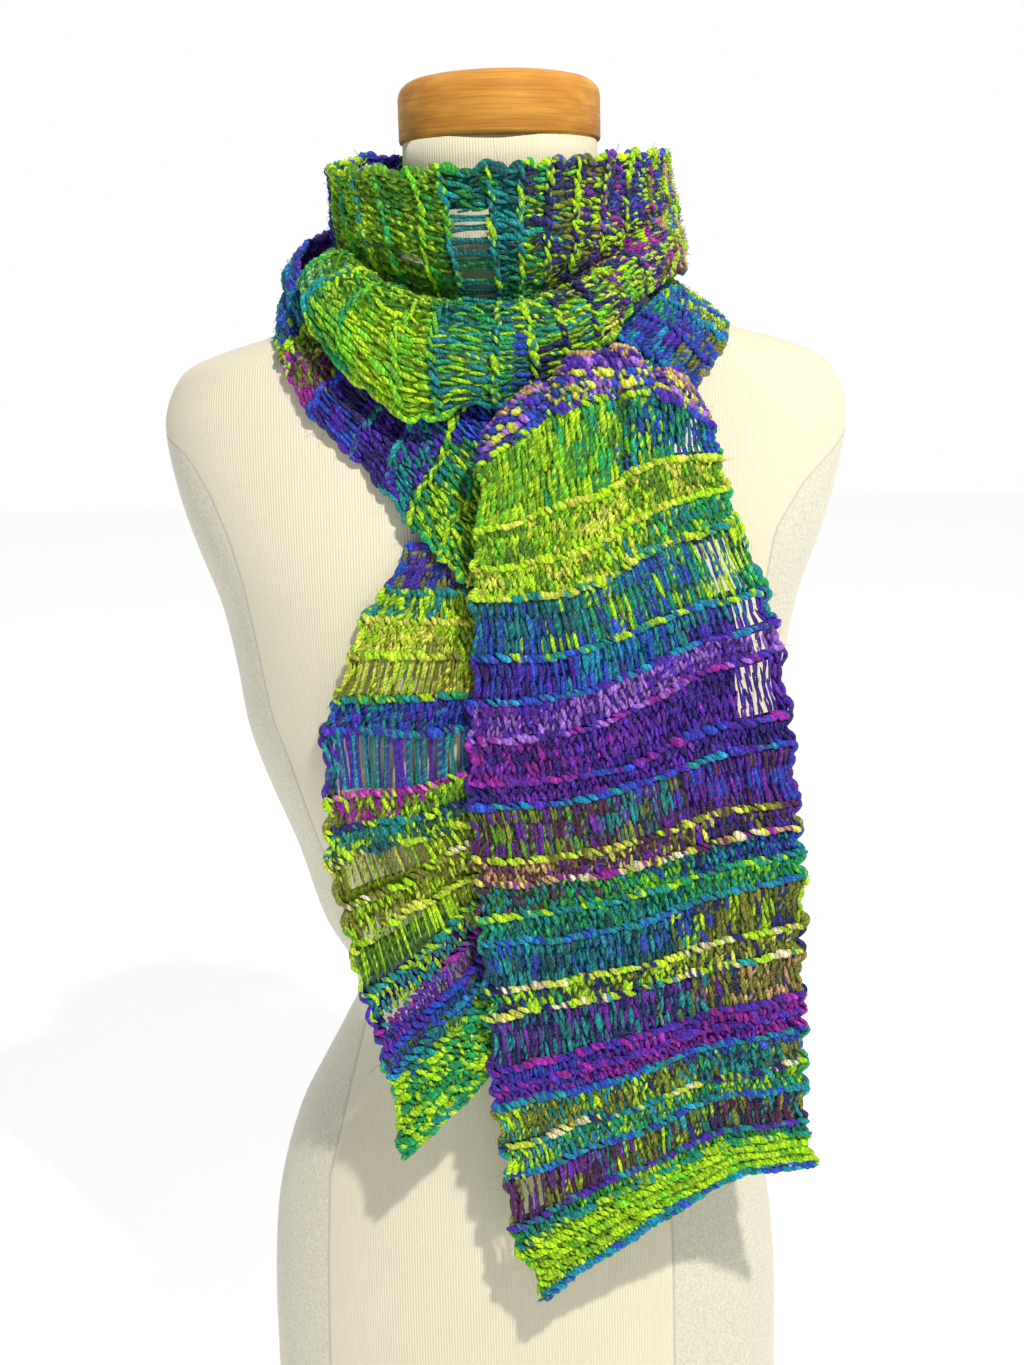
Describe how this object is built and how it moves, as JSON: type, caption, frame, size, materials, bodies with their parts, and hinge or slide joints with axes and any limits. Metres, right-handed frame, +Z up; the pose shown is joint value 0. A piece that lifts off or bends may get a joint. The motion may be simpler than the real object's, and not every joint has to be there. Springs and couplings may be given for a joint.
{
  "type": "knit scarf on a limbless dress form",
  "caption": "Long hand-knit scarf with garter ridges and open ladders, wound round the neck of a limbless dress form and looped so that both tails hang down the front.",
  "frame": {"origin": "middle of the part's footprint, on the surface that the form stands on", "axes": "+Z up, the form and the tails face -Y, +X towards the longer tail's side"},
  "size_m": [0.388, 0.253, 0.848],
  "materials": {
    "jersey": "matte cream knitted jersey with fine upright ribs",
    "wood": "satin turned wood with fine level grain",
    "knit_cowl": "matte hairy hand-knit yarn, green, teal, navy and violet",
    "knit_bands": "matte hairy hand-knit yarn, blue, violet and green",
    "knit_left_strand": "matte hairy hand-knit yarn, blue, violet and teal",
    "knit_right_strand": "matte hairy hand-knit yarn, cyan, lime and blue",
    "knit_front_tail": "matte hairy hand-knit yarn in many stripes",
    "knit_left_tail": "matte hairy hand-knit yarn, lime, olive, teal and violet"
  },
  "bodies": {
    "root": {"form_torso": "jersey", "form_neck_cap": "wood", "left_tail": "knit_left_tail", "strand_right": "knit_right_strand", "back_band_inner": "knit_bands", "neck_wrap": "knit_cowl", "back_band_outer": "knit_bands", "strand_left": "knit_left_strand", "front_tail": "knit_front_tail"}
  },
  "joints": []
}
